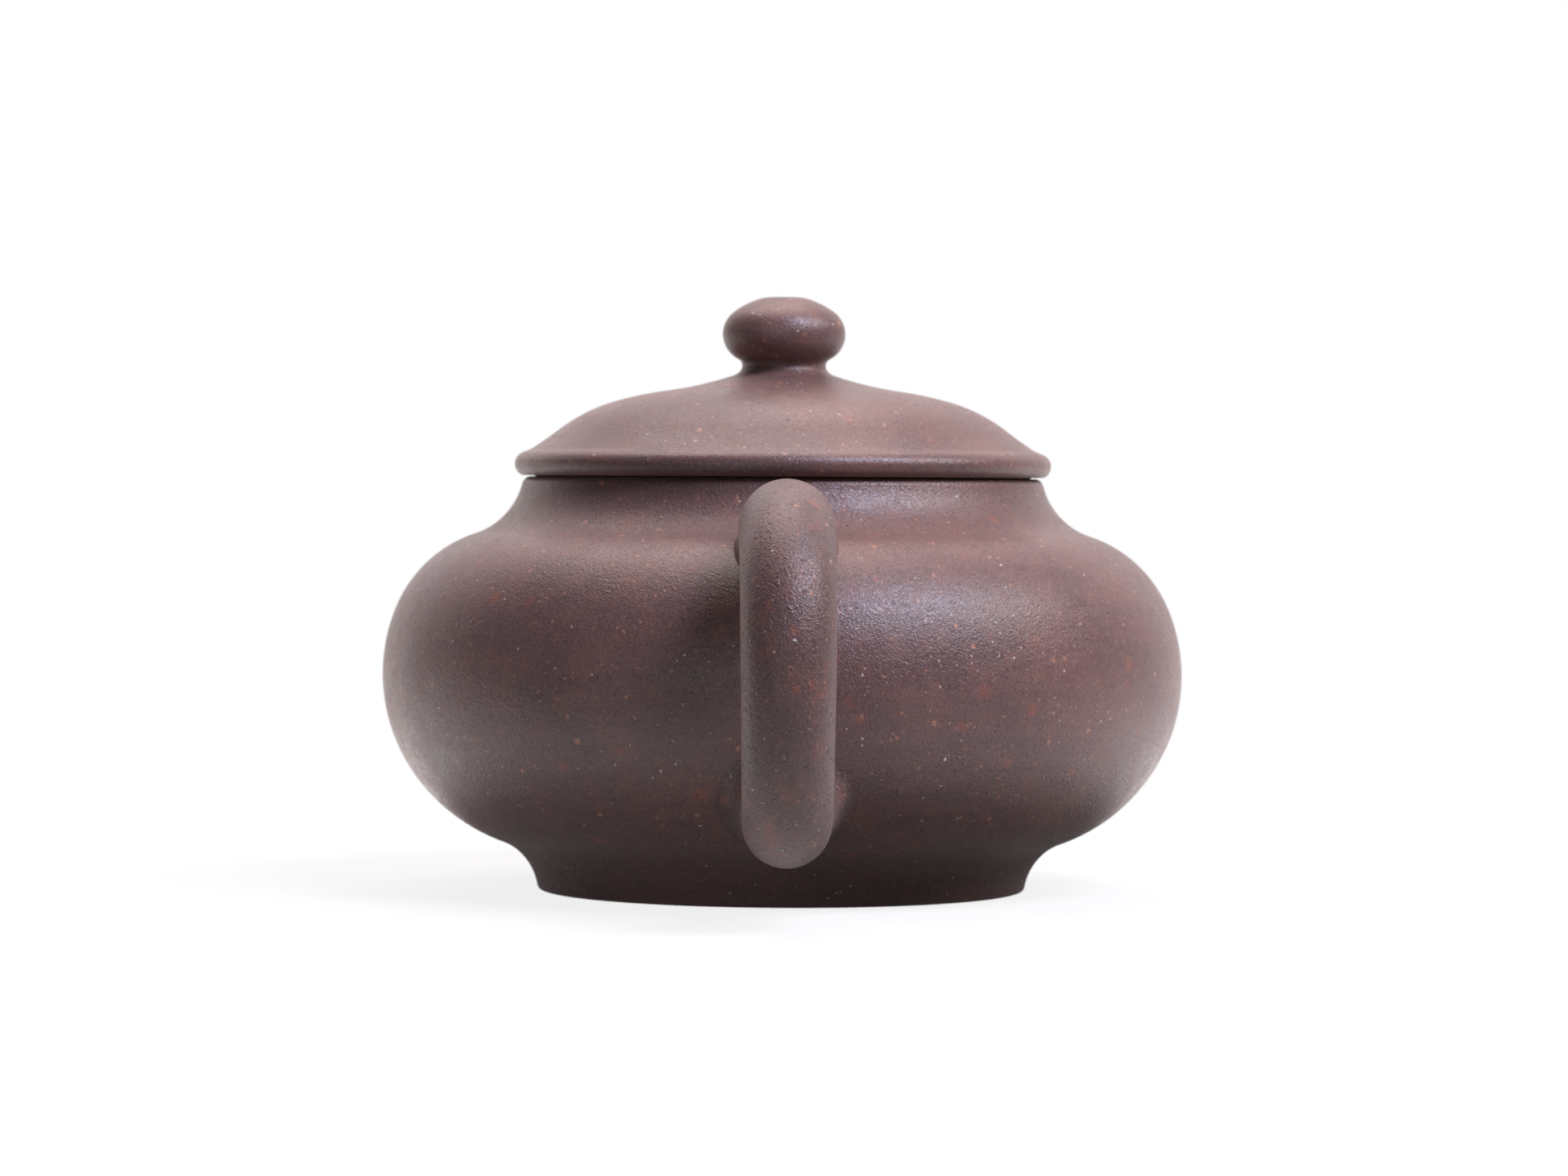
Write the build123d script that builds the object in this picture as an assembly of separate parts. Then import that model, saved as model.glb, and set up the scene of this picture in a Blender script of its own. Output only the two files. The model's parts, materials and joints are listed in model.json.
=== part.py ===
from build123d import *
import os
from math import cos, exp, radians, sin

# A low round-bellied clay teapot with a press-on lid. All sizes are millimetres. +Z is up, the origin is
# the centre of the foot's resting plane, the spout points along +X and the handle along -X.
#
# Round pieces are revolved from sections drawn in the (radius, height) half plane. The outside of the
# pot is one smooth path of arcs, walked from the edge of the foot up to the mouth, and each piece of
# clay takes its own stretch of that path. Left turns are positive.

# --- Pot ---
wall = 2.8
foot_edge_r = 30.4
foot_heading = 76.3
foot_band = 1.0
cove_radius = 7.5
cove_turn_on_foot = 44.0
cove_turn_on_base = 12.6
belly_radius = 22.0
belly_turn = 92.4
shoulder_radius = 16.0
shoulder_turn = 49.8
neck_radius = 9.0
neck_turn = 45.6
lip_turn = 17.4
mouth_bore_r = 27.6
foot_rest_inner_r = 27.4
foot_recess_r = 26.4
edge_round = 0.45

# --- Lid ---
rim_centre_r = 32.0
rim_radius = 1.55
plate_bore_r = 24.8
flange_clearance = 0.3
flange_depth = 7.0
slip_thickness = 0.3
dome_heading = 147.4
dome_thickness = 2.6
dome_steps = [(60.0, -4.8), (21.2, 22.3), (50.0, 7.1), (45.0, -10.6)]
knob_waist_steps = [(2.05, -31.0), (0.95, -103.3)]
knob_side_radius = 3.5
knob_side_turn = 116.0
air_hole_r = 1.0

# --- Handle: the centreline is a path of arcs in the pot's middle plane, walked outwards ---
handle_start = (33.5, 39.8)
handle_heading = 30.0
handle_steps = [(45.5, -30.0), (23.8, -30.0), (12.6, -60.0), (27.4, -30.0), (11.8, -60.0), (80.0, -18.0)]
handle_inside_high = 6.5
handle_inside_low = 9.5
handle_radius_high = 5.8
handle_radius_low = 4.9
handle_flare_high = 0.8
handle_flare_low = 2.2
flare_reach = 4.0
handle_stations = 29

# --- Spout ---
spout_root_angle = -7.0
spout_root_slope = 8.0
spout_inside_body = 7.0
spout_bend = (58.5, 30.0)
spout_tip = (76.4, 48.3)
spout_tip_slope = 47.0
spout_outer_radii = [11.8, 11.8, 11.3, 9.8, 8.6, 7.7, 7.0, 6.4, 5.8, 5.3, 4.9]
spout_bore_radii = [8.2, 8.2, 8.2, 7.2, 6.2, 5.4, 4.8, 4.3, 3.8, 3.4, 3.2]

# --- Strainer: a pierced half ball over the spout opening, on the inside of the wall ---
strainer_outer_r = 10.2
strainer_thickness = 1.5
strainer_hole_r = 0.8
strainer_rings = [(0.0, 1), (21.0, 6), (42.0, 12), (62.0, 18)]

# --- Construction: a reach that clears the whole lid, and the gap under which two ends are one point ---
lid_reach = 40.0
same_point = 1e-6


def direction(heading):
    """Unit vector at an angle in the section plane."""
    return Vector(cos(radians(heading)), sin(radians(heading)))


def inset(point, heading, depth):
    """Point on the left of a path, at a depth below its surface."""
    return point + direction(heading + 90) * depth


def arc(start, heading, radius, turn):
    """Arc that leaves a point along a heading; a negative turn bends to the right."""
    return JernArc(start, direction(heading), radius, turn)


def chain(start, heading, steps):
    """One arc after another, each tangent to the last. Returns the arcs and the last heading."""
    arcs = []
    for radius, turn in steps:
        arcs.append(arc(start, heading, radius, turn))
        start = arcs[-1] @ 1
        heading += turn
    return arcs, heading


def closed_section(paths):
    """Face bounded by paths in order, with a straight joint wherever one ends short of the next."""
    edges = []
    for path, following in zip(paths, paths[1:] + paths[:1]):
        edges.append(path)
        if (path @ 1 - following @ 0).length > same_point:
            edges.append(Line(path @ 1, following @ 0))
    return make_face(edges)


def rounded(section, corners, radius):
    """Section with its corners nearest the given points rounded off."""
    picked = [section.vertices().sort_by_distance((point.X, point.Y))[0] for point in corners]
    return fillet(picked, radius)


def revolved(section):
    """Ring or disc made from a section in the (radius, height) half plane."""
    return revolve(Plane.XZ * section, Axis.Z)


def reversed_arc(start, heading, radius, turn):
    """The same arc walked from its far end, for the second side of a section."""
    forward = arc(start, heading, radius, turn)
    return arc(forward @ 1, heading + turn + 180, radius, -turn)


def band(start, heading, radius, turn):
    """Section of the wall under one arc of the outside, square to the surface at both ends."""
    inner_radius = radius - wall if turn > 0 else radius + wall
    outside = arc(start, heading, radius, turn)
    inside = reversed_arc(inset(start, heading, wall), heading, inner_radius, turn)
    return closed_section([outside, inside])


def tube(path, stations, mirror=1):
    """Round solid lofted along a path in the middle plane; stations are (fraction, radius)."""
    rings = []
    for fraction, radius in stations:
        point = path @ fraction
        ahead = path % fraction
        plane = Plane((point.X * mirror, 0, point.Y), x_dir=(0, 1, 0), z_dir=(ahead.X * mirror, 0, ahead.Y))
        rings.append(plane * Circle(radius))
    return loft(rings)


# --- The outside path, and the heights that follow from it ---
foot_edge = Vector(foot_edge_r, 0)
foot_band_line = Line(foot_edge, foot_edge + direction(foot_heading) * foot_band)
cove_foot = arc(foot_band_line @ 1, foot_heading, cove_radius, -cove_turn_on_foot)
foot_top = cove_foot @ 1
base_heading = foot_heading - cove_turn_on_foot
cove_base = arc(foot_top, base_heading, cove_radius, -cove_turn_on_base)
belly_start = cove_base @ 1
belly_heading = base_heading - cove_turn_on_base
belly = arc(belly_start, belly_heading, belly_radius, belly_turn)
shoulder_start = belly @ 1
shoulder_heading = belly_heading + belly_turn
shoulder = arc(shoulder_start, shoulder_heading, shoulder_radius, shoulder_turn)
neck_start = shoulder @ 1
neck_heading = shoulder_heading + shoulder_turn
neck = arc(neck_start, neck_heading, neck_radius, -neck_turn)
lip_start = neck @ 1
lip = arc(lip_start, neck_heading - neck_turn, neck_radius, -lip_turn)
seat_z = (lip @ 1).Y
belly_centre = inset(belly_start, belly_heading, belly_radius)
floor_end = belly_centre - Vector(0, belly_radius - wall)
floor_z = floor_end.Y
spout_root = belly_centre + direction(spout_root_angle) * (belly_radius - wall)


def outer_solid():
    """The pot's outside as a filled solid, to cut the handle and the spout to the body."""
    axis_line = Line((0, seat_z), (0, 0))
    outside = [foot_band_line, cove_foot, cove_base, belly, shoulder, neck, lip]
    return revolved(closed_section([*outside, axis_line]))


def inside_of_neck():
    """Inner surface of the neck, from the shoulder's inner edge to the corner of the mouth bore."""
    start = inset(neck_start, neck_heading, wall)
    return TangentArc(start, (mouth_bore_r, lip_start.Y), tangent=direction(neck_heading))


def cavity_solid():
    """The hollow of the pot below the lip, filled."""
    floor_curve = arc(floor_end, 0, belly_radius - wall, belly_heading)
    wall_inside = arc(floor_curve @ 1, belly_heading, belly_radius - wall, belly_turn)
    shoulder_inside = arc(wall_inside @ 1, shoulder_heading, shoulder_radius - wall, shoulder_turn)
    axis_line = Line((0, lip_start.Y), (0, floor_z))
    return revolved(closed_section([floor_curve, wall_inside, shoulder_inside, inside_of_neck(), axis_line]))


def foot_ring():
    """Ring that the pot rests on, hollow-curved outside and slightly tapered inside."""
    recess = Line((foot_recess_r, foot_top.Y), (foot_rest_inner_r, 0))
    section = closed_section([foot_band_line, cove_foot, recess])
    return revolved(rounded(section, [foot_edge, recess @ 1], edge_round))


def base_slab():
    """Disc under the cavity: its edge carries the last of the cove and meets the wall square."""
    floor_curve = reversed_arc(floor_end, 0, belly_radius - wall, belly_heading)
    axis_line = Line((0, floor_z), (0, foot_top.Y))
    return revolved(closed_section([cove_base, floor_curve, axis_line]))


def body_wall(opening):
    """Wall of the round belly, with the opening that the spout stands over."""
    return revolved(band(belly_start, belly_heading, belly_radius, belly_turn)) - opening


def shoulder_slab():
    """Ring that closes the belly inwards, up to the neck."""
    return revolved(band(shoulder_start, shoulder_heading, shoulder_radius, shoulder_turn))


def neck_ring():
    """Neck whose wall thickens upwards into the mouth."""
    inside = inside_of_neck()
    inside_down = TangentArc(inside @ 1, inside @ 0, tangent=-(inside % 1))
    return revolved(closed_section([neck, inside_down]))


def mouth_lip():
    """Thick top of the neck: the level seat of the lid, around the upright bore of the mouth."""
    bore = Line((mouth_bore_r, seat_z), (mouth_bore_r, lip_start.Y))
    section = closed_section([lip, bore])
    return revolved(rounded(section, [lip @ 1, bore @ 0], edge_round))


def flared_radius(fraction, length):
    """Handle radius: a slow taper from top to bottom, with a flare where each root meets the body."""
    from_high = fraction * length - handle_inside_high
    from_low = (1 - fraction) * length - handle_inside_low
    taper = handle_radius_high + (handle_radius_low - handle_radius_high) * fraction
    high = handle_flare_high * exp(-max(from_high, 0) / flare_reach)
    low = handle_flare_low * exp(-max(from_low, 0) / flare_reach)
    return taper + high + low


def handle(body):
    """Ear-shaped loop, round in section, that ends on the body's surface at both roots."""
    arcs, _ = chain(Vector(*handle_start), handle_heading, handle_steps)
    path = Wire(arcs)
    fractions = [i / (handle_stations - 1) for i in range(handle_stations)]
    stations = [(fraction, flared_radius(fraction, path.length)) for fraction in fractions]
    return tube(path, stations, mirror=-1) - body


def spout_path():
    """Centreline of the spout, from inside the cavity through its root on the wall to the tip."""
    start = spout_root - direction(spout_root_slope) * spout_inside_body
    tangents = [direction(spout_root_slope), direction(spout_tip_slope)]
    return Spline(start, spout_bend, spout_tip, tangents=tangents)


def along_spout(radii):
    """Round solid along the spout's centreline, with its radii at equal steps of the way."""
    last = len(radii) - 1
    return tube(spout_path(), [(i / last, radius) for i, radius in enumerate(radii)])


def strainer_dome(cavity):
    """Pierced shell that bulges into the cavity, with its edge on the wall around the opening."""
    centre = Pos(spout_root.X, 0, spout_root.Y)
    facing = centre * Rot(0, -90 - spout_root_slope, 0)
    shell = centre * (Sphere(strainer_outer_r) - Sphere(strainer_outer_r - strainer_thickness))
    drill = Pos(0, 0, strainer_outer_r) * Cylinder(strainer_hole_r, 4 * strainer_thickness)
    holes = [
        facing * Rot(0, 0, 360 * i / count) * Rot(0, tilt, 0) * drill
        for tilt, count in strainer_rings
        for i in range(count)
    ]
    return (shell & cavity) - holes


def lid_plate():
    """Flat ring that rests on the mouth, with the half-round rim on its edge."""
    rim = arc(Vector(rim_centre_r, seat_z), 0, rim_radius, 180)
    bore = Line((plate_bore_r, seat_z + 2 * rim_radius), (plate_bore_r, seat_z))
    return revolved(closed_section([rim, bore]))


def lid_flange():
    """Upright ring that hangs in the mouth with a small clearance, and keeps the lid from sliding off."""
    outer_r = mouth_bore_r - flange_clearance
    height = flange_depth - slip_thickness
    ring = Rectangle(outer_r - plate_bore_r, height, align=(Align.MIN, Align.MAX))
    section = Pos(plate_bore_r, seat_z - slip_thickness) * ring
    low_edge = seat_z - flange_depth
    corners = [Vector(plate_bore_r, low_edge), Vector(outer_r, low_edge)]
    return revolved(rounded(section, corners, edge_round))


def lid_luting_slip():
    """Thin layer of slip that joins the flange to the underside of the plate."""
    outer_r = mouth_bore_r - flange_clearance
    layer = Rectangle(outer_r - plate_bore_r, slip_thickness, align=(Align.MIN, Align.MAX))
    return revolved(Pos(plate_bore_r, seat_z) * layer)


def dome_outside():
    """Arcs of the dome from the rim up to the foot of the knob, and their last heading."""
    start = Vector(rim_centre_r, seat_z + 2 * rim_radius)
    return chain(start, dome_heading, dome_steps)


def lid_dome(air_hole):
    """Shell of even thickness, cut level where it stands on the plate and where the knob stands on it."""
    outside, _ = dome_outside()
    inner_steps = [(r - dome_thickness if turn > 0 else r + dome_thickness, turn) for r, turn in dome_steps]
    inside, _ = chain(inset(outside[0] @ 0, dome_heading, dome_thickness), dome_heading, inner_steps)
    above_plate = Pos(0, seat_z + 2 * rim_radius) * Rectangle(rim_centre_r, lid_reach, align=Align.MIN)
    filled = closed_section([*outside, axis_line_under(outside[-1] @ 1)]) & above_plate
    hollow = closed_section([*inside, axis_line_under(inside[-1] @ 1)])
    return revolved(filled - hollow) - air_hole


def axis_line_under(point):
    """Stretch of the axis from the level of a point down to the lid's seat, to close a section."""
    return Line((0, point.Y), (0, seat_z))


def knob(air_hole):
    """Flattened bead on a short waisted neck, with a wide soft crown."""
    outside, heading = dome_outside()
    foot = outside[-1] @ 1
    waist, heading = chain(foot, heading, knob_waist_steps)
    side = arc(waist[-1] @ 1, heading, knob_side_radius, knob_side_turn)
    crown_heading = heading + knob_side_turn
    crown_radius = (side @ 1).X / sin(radians(180 - crown_heading))
    crown = arc(side @ 1, crown_heading, crown_radius, 180 - crown_heading)
    axis_line = Line(crown @ 1, (0, foot.Y))
    return revolved(closed_section([*waist, side, crown, axis_line])) - air_hole


def air_hole_drill():
    """Filled air hole, from the lid's seat up through the dome and the knob."""
    upwards = (Align.CENTER, Align.CENTER, Align.MIN)
    return Pos(0, 0, seat_z) * Cylinder(air_hole_r, lid_reach, align=upwards)


body = outer_solid()
cavity = cavity_solid()
spout_bore = along_spout(spout_bore_radii)
air_hole = air_hole_drill()
parts = {
    "foot_ring": foot_ring(),
    "base_slab": base_slab(),
    "body_wall": body_wall(spout_bore),
    "shoulder_slab": shoulder_slab(),
    "neck_ring": neck_ring(),
    "mouth_lip": mouth_lip(),
    "handle": handle(body),
    "spout": along_spout(spout_outer_radii) - spout_bore - body,
    "strainer_dome": strainer_dome(cavity),
    "lid_plate": lid_plate(),
    "lid_dome": lid_dome(air_hole),
    "lid_flange": lid_flange(),
    "lid_luting_slip": lid_luting_slip(),
    "knob": knob(air_hole),
}

os.makedirs("parts", exist_ok=True)
for name, part in parts.items():
    export_step(part, f"parts/{name}.step")
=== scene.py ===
import json
from math import asin, ceil, cos, degrees, pi, radians, sin

import bpy
import numpy as np
from mathutils import Matrix, Vector


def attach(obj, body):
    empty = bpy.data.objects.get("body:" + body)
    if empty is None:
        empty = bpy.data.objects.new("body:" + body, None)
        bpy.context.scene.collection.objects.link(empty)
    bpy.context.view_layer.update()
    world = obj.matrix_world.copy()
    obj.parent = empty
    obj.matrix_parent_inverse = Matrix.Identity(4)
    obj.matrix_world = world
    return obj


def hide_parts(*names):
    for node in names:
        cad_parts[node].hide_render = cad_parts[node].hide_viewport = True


# A low round-bellied teapot of unglazed purple-brown clay. Shapes are worked out in millimetres, in the
# part's own frame: +Z up, the origin under the middle of the foot, the spout along +X, the handle along -X.
# make_piece() turns them into metres. Round pieces are revolved from sections in the (radius, height) half
# plane, walked with the clay on the left. A curve is an array of rows: radius, height, heading in degrees.

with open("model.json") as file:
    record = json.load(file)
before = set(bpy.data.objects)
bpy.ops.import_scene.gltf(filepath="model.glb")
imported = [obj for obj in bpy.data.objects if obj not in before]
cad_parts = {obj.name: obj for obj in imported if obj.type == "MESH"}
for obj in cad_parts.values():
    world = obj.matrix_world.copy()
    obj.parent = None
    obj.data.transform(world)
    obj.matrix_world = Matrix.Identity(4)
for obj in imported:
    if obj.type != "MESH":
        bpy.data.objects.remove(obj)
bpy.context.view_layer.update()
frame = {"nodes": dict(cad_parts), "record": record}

MM = 0.001  # metres in a millimetre
ROW = 0.55  # usual length of a face along a section
FINE_ROW = 0.2
SMALL_ROUND_ROW = 0.25
SEGMENTS = 240  # faces around a round piece
TUBE_SEGMENTS = 112  # faces around the handle and the spout

# --- Unevenness of a form beaten by hand ---
WAVE_SEED = 11
WAVE_LENGTHS = np.array([70.0, 58.0, 47.0, 39.0, 33.0, 27.0, 22.0, 18.0, 15.0, 12.5])
WAVE_STEEPNESS = 0.0009  # height of each wave as a share of its length

# --- Pot ---
WALL = 2.8
FOOT_EDGE_R = 30.4
FOOT_HEADING = 76.3
FOOT_BAND = 1.0
COVE_RADIUS = 7.5
COVE_TURN_ON_FOOT = 44.0
COVE_TURN_ON_BASE = 12.6
BELLY_RADIUS = 22.0
BELLY_TURN = 92.4
SHOULDER_RADIUS = 16.0
SHOULDER_TURN = 49.8
NECK_RADIUS = 9.0
NECK_TURN = 45.6
LIP_TURN = 17.4
MOUTH_BORE_R = 27.6
FOOT_REST_INNER_R = 27.4
FOOT_RECESS_R = 26.4
EDGE_ROUND = 0.45
BLEND_PULL = 1.15  # how far a rounded corner holds its first heading, as a share of its chord

# --- Lid ---
RIM_CENTRE_R = 32.0
RIM_RADIUS = 1.55
PLATE_BORE_R = 24.8
FLANGE_CLEARANCE = 0.3
FLANGE_DEPTH = 7.0
SLIP_THICKNESS = 0.3
SLIP_GAP = 0.02  # room for the lid to turn on the slip
DOME_HEADING = 147.4
DOME_THICKNESS = 2.6
DOME_STEPS = [(60.0, -4.8), (21.2, 22.3), (50.0, 7.1), (45.0, -10.6)]
DOME_HOLE_ROUND = 0.3
DOME_CEILING_ROUND = 1.2
KNOB_WAIST_STEPS = [(2.05, -31.0), (0.95, -103.3)]
KNOB_SIDE_RADIUS = 3.5
KNOB_SIDE_TURN = 116.0
KNOB_CROWN_ROW = 0.3
KNOB_FLAT_R = 2.3
KNOB_FLAT_ROUND = 0.6
KNOB_HOLE_ROUND = 0.3
AIR_HOLE_R = 1.0
RIM_BLEND = 0.9  # how much of the rim and of the dome their smooth joint takes up
GROOVE_INNER_R = 30.9
GROOVE_OUTER_R = 31.5
GROOVE_DEPTH = 0.3
GROOVE_CUT = 0.65  # how much of the half-round the groove takes up

# --- Handle ---
HANDLE_START = (33.5, 39.8)
HANDLE_HEADING = 30.0
HANDLE_STEPS = [(45.5, -30.0), (23.8, -30.0), (12.6, -60.0), (27.4, -30.0), (11.8, -60.0), (80.0, -18.0)]
HANDLE_INSIDE_HIGH = 6.5  # how far the bar's upper end reaches into the pot
HANDLE_INSIDE_LOW = 9.5
HANDLE_RADIUS_HIGH = 5.8
HANDLE_RADIUS_LOW = 4.9
HANDLE_FLARE_HIGH = 0.1
HANDLE_FLARE_LOW = 1.5
FLARE_REACH = 4.0
HANDLE_ROW = 0.6
HIGH_ROOT_LEAVE = 1.2  # where a root leaves its tube, before the belly
HIGH_ROOT_SPREAD = 0.6  # how far a root runs out on the belly
LOW_ROOT_LEAVE = 3.0
LOW_ROOT_SPREAD = 2.0
HANDLE_END_DEPTH = 1.0

# --- Spout ---
SPOUT_ROOT_ANGLE = -7.0
SPOUT_ROOT_SLOPE = 8.0
SPOUT_INSIDE_BODY = 7.0
SPOUT_BEND = (58.5, 30.0)
SPOUT_TIP = (76.4, 48.3)
SPOUT_TIP_SLOPE = 47.0
SPOUT_OUTER_RADII = [11.8, 11.8, 11.3, 9.8, 8.6, 7.7, 7.0, 6.4, 5.8, 5.3, 4.9]
SPOUT_BORE_RADII = [8.2, 8.2, 8.2, 7.2, 6.2, 5.4, 4.8, 4.3, 3.8, 3.4, 3.2]
SPOUT_ROOT_LEAVE = 3.0
SPOUT_ROOT_SPREAD = 2.4
SPOUT_END_DEPTH = 0.8
SPOUT_BORE_OVERLAP = 0.3
SPOUT_CURVE_ROWS = 120
SPOUT_ROWS = 70
SPOUT_LIP_ROWS = 12
DRILL_ROWS = 30
ON_SURFACE = 0.02  # how close a point of the drilled wall is to the surface that it belongs to

# --- Where a tube runs out on the belly ---
ROOT_PULL_FROM_TUBE = 1.7
ROOT_PULL_ON_POT = 1.9
ROOT_EDGE_DEPTH = 0.02
END_INSET = 0.06  # share by which a buried end is drawn in
SEARCH_ROWS = 400


# ---------------------------------------------------------------- curves in the section plane

def direction(heading):
    """Unit vectors at angles in the section plane."""
    angle = np.radians(heading)
    return np.stack([np.cos(angle), np.sin(angle)], axis=-1)


def arc(start, heading, radius, turn, row=ROW):
    """Arc that leaves a point along a heading; a negative turn bends to the right."""
    count = ceil(abs(radians(turn)) * radius / row) + 3
    headings = heading + turn * np.linspace(0, 1, count)
    side = np.sign(turn)
    centre = np.asarray(start) + side * radius * direction(heading + 90)
    return np.column_stack([centre - side * radius * direction(headings + 90), headings])


def walk(start, heading, steps, row=ROW):
    """Arcs one after another, each tangent to the last."""
    arcs = []
    for radius, turn in steps:
        arcs.append(arc(start, heading, radius, turn, row))
        start = arcs[-1][-1, :2]
        heading += turn
    return arcs


def line(start, end):
    """Straight curve between two points."""
    start, end = np.asarray(start, float), np.asarray(end, float)
    reach = end - start
    count = ceil(np.linalg.norm(reach) / (2 * ROW)) + 2
    points = start + reach * np.linspace(0, 1, count)[:, None]
    return np.column_stack([points, np.full(count, degrees(np.arctan2(reach[1], reach[0])))])


def arc_to(start, heading, end):
    """Arc that leaves a point along a heading and ends at another point."""
    chord = np.asarray(end, float) - start
    half_turn = degrees(np.arctan2(chord[1], chord[0])) - heading
    half_turn = (half_turn + 180) % 360 - 180
    radius = np.linalg.norm(chord) / (2 * abs(sin(radians(half_turn))))
    return arc(start, heading, radius, 2 * half_turn)


def turned_back(curve):
    """The same curve walked from its other end."""
    flipped = curve[::-1].copy()
    flipped[:, 2] += 180
    return flipped


def inset(curve, depth):
    """Curve on the left of another, at an even depth below it."""
    moved = curve.copy()
    moved[:, :2] += direction(curve[:, 2] + 90) * depth
    return moved


def trim(curve, front, back):
    """Curve without its first and last few millimetres."""
    along = np.concatenate([[0], np.cumsum(np.linalg.norm(np.diff(curve[:, :2], axis=0), axis=1))])
    keep = np.linspace(front, along[-1] - back, len(curve))
    return np.column_stack([np.interp(keep, along, column) for column in curve.T])


def blend(first, second, rows=7):
    """Smooth curve from the end of one curve to the start of the next, tangent to both."""
    start, end = first[-1, :2], second[0, :2]
    reach = BLEND_PULL * np.linalg.norm(end - start)
    leave, arrive = direction(first[-1, 2]) * reach, direction(second[0, 2]) * reach
    t = np.linspace(0, 1, rows)[:, None]
    points = hermite(t, start, leave, end, arrive)
    slopes = ((6 * t**2 - 6 * t) * (start - end) + (3 * t**2 - 4 * t + 1) * leave
              + (3 * t**2 - 2 * t) * arrive)
    return np.column_stack([points, np.degrees(np.arctan2(slopes[:, 1], slopes[:, 0]))])


def hermite(t, start, leave, end, arrive):
    """Cubic curve between two points with given speeds at its ends."""
    return ((2 * t**3 - 3 * t**2 + 1) * start + (t**3 - 2 * t**2 + t) * leave
            + (3 * t**2 - 2 * t**3) * end + (t**3 - t**2) * arrive)


def with_rounds(curves, rounds):
    """Closed section with some corners rounded off: rounds maps a curve's number to the size of the round
    at its end."""
    cuts = [[0, 0] for _ in curves]
    for i, size in rounds.items():
        cuts[i][1] = size
        cuts[(i + 1) % len(curves)][0] = size
    trimmed = [trim(curve, *ends) for curve, ends in zip(curves, cuts)]
    section = []
    for i, curve in enumerate(trimmed):
        section.append(curve)
        if i in rounds:
            section.append(blend(curve, trimmed[(i + 1) % len(curves)]))
    return section


# ---------------------------------------------------------------- the outside path of the pot

foot_edge = np.array([FOOT_EDGE_R, 0.0])
foot_band = line(foot_edge, foot_edge + direction(FOOT_HEADING) * FOOT_BAND)
cove_foot, cove_base, belly, shoulder, neck, lip = walk(foot_band[-1, :2], FOOT_HEADING, [
    (COVE_RADIUS, -COVE_TURN_ON_FOOT),
    (COVE_RADIUS, -COVE_TURN_ON_BASE),
    (BELLY_RADIUS, BELLY_TURN),
    (SHOULDER_RADIUS, SHOULDER_TURN),
    (NECK_RADIUS, -NECK_TURN),
    (NECK_RADIUS, -LIP_TURN),
])
FOOT_TOP = cove_foot[-1, :2]
SEAT_Z = lip[-1, 1]
PLATE_TOP_Z = SEAT_Z + 2 * RIM_RADIUS
BELLY_CENTRE = inset(belly[:1], BELLY_RADIUS)[0, :2]
SPOUT_ROOT = BELLY_CENTRE + direction(SPOUT_ROOT_ANGLE) * (BELLY_RADIUS - WALL)
FLANGE_OUTER_R = MOUTH_BORE_R - FLANGE_CLEARANCE


def nearest_outside(points):
    """For points in space: the nearest places on the pot's outside, the outward normals there, and the
    points' heights above the surface."""
    flat = np.stack([np.hypot(points[..., 0], points[..., 1]), points[..., 2]], axis=-1)
    best_distance = np.full(flat.shape[:-1], np.inf)
    spot, normal = np.zeros_like(flat), np.zeros_like(flat)
    arcs = [(cove_foot, COVE_RADIUS, -1), (cove_base, COVE_RADIUS, -1), (belly, BELLY_RADIUS, 1),
            (shoulder, SHOULDER_RADIUS, 1), (neck, NECK_RADIUS, -1), (lip, NECK_RADIUS, -1)]
    for curve, radius, side in arcs:
        start_heading, turn = curve[0, 2], curve[-1, 2] - curve[0, 2]
        centre = curve[0, :2] + side * radius * direction(start_heading + 90)
        around = flat - centre
        heading = np.degrees(np.arctan2(around[..., 1], around[..., 0])) + 90 * side
        swing = (heading - start_heading + 180) % 360 - 180
        outward = direction(start_heading + turn * np.clip(swing / turn, 0, 1) - 90)
        on_arc = centre + side * radius * outward
        distance = np.linalg.norm(flat - on_arc, axis=-1)
        nearer = distance < best_distance
        best_distance = np.where(nearer, distance, best_distance)
        spot = np.where(nearer[..., None], on_arc, spot)
        normal = np.where(nearer[..., None], outward, normal)
    height = ((flat - spot) * normal).sum(axis=-1)
    around_axis = points[..., :2] / flat[..., :1]
    spot_3d = np.concatenate([around_axis * spot[..., :1], spot[..., 1:]], axis=-1)
    normal_3d = np.concatenate([around_axis * normal[..., :1], normal[..., 1:]], axis=-1)
    return spot_3d, normal_3d, height


# ---------------------------------------------------------------- rings of points, and meshes from them

def revolved(curves):
    """Rings of a closed section around the axis, with the normals at both ends of each strip of faces."""
    rows = np.concatenate([curve[:-1] for curve in curves])
    end_headings = np.concatenate([curve[1:, 2] for curve in curves])
    angle = 2 * pi * np.arange(SEGMENTS) / SEGMENTS
    around = np.stack([np.cos(angle), np.sin(angle)], axis=-1)

    def spun(flat):
        tall = np.broadcast_to(flat[:, None, 1:], (len(flat), SEGMENTS, 1))
        return np.concatenate([flat[:, None, :1] * around, tall], axis=-1)

    return spun(rows[:, :2]), spun(direction(rows[:, 2] - 90)), spun(direction(end_headings - 90))


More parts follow.
